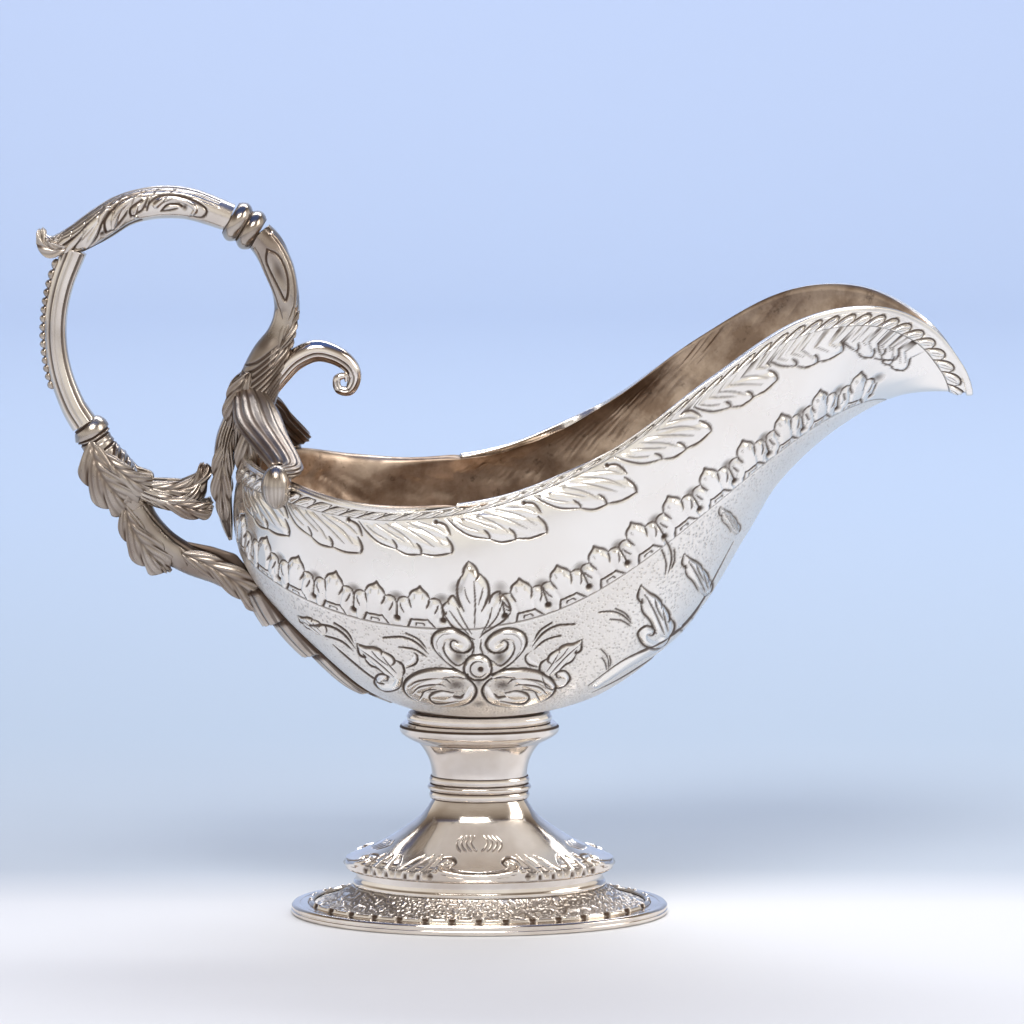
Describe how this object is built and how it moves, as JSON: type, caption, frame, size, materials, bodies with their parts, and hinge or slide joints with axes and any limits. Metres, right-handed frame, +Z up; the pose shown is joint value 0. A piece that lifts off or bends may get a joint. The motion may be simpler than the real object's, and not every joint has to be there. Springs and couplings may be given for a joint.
{
  "type": "footed sauce boat",
  "caption": "Oval silver sauce boat with a long upswept spout, chased bowl, leaf-cast scroll handle and oval pedestal foot.",
  "frame": {"origin": "On the surface the foot stands on, under the middle of the whole length and in the left-right middle plane.", "axes": "+X points along the boat to the tip of the spout, +Z points up, +Y points to the boat's left side seen from the handle."},
  "size_m": [0.2403, 0.1006, 0.1901],
  "materials": {
    "silver_polished": "polished silver",
    "silver_chased": "polished silver, chased",
    "silver_oxidised": "cast silver with darkened hollows"
  },
  "bodies": {
    "root": {"foot_edge_band": "silver_polished", "foot_flange": "silver_polished", "foot_bead_line": "silver_oxidised", "foot_dome": "silver_oxidised", "foot_collar": "silver_polished", "foot_bell": "silver_polished", "stem_knop": "silver_polished", "stem_spool": "silver_polished", "stem_top_ring": "silver_polished", "bowl_seat_ring": "silver_polished", "bowl": "silver_chased", "rim_border": "silver_chased", "back_tube": "silver_polished", "bead_ridge": "silver_oxidised", "top_scroll": "silver_oxidised", "ring_collar": "silver_polished", "leaf_stem": "silver_oxidised", "thumb_scroll": "silver_polished", "rim_leaf_near": "silver_oxidised", "rim_leaf_far": "silver_oxidised", "back_leaf": "silver_oxidised", "lower_sheath": "silver_oxidised", "spur_leaf": "silver_oxidised", "outer_leaf": "silver_oxidised", "lower_branch": "silver_oxidised", "branch_web": "silver_oxidised", "tail_leaf": "silver_oxidised"}
  },
  "joints": []
}
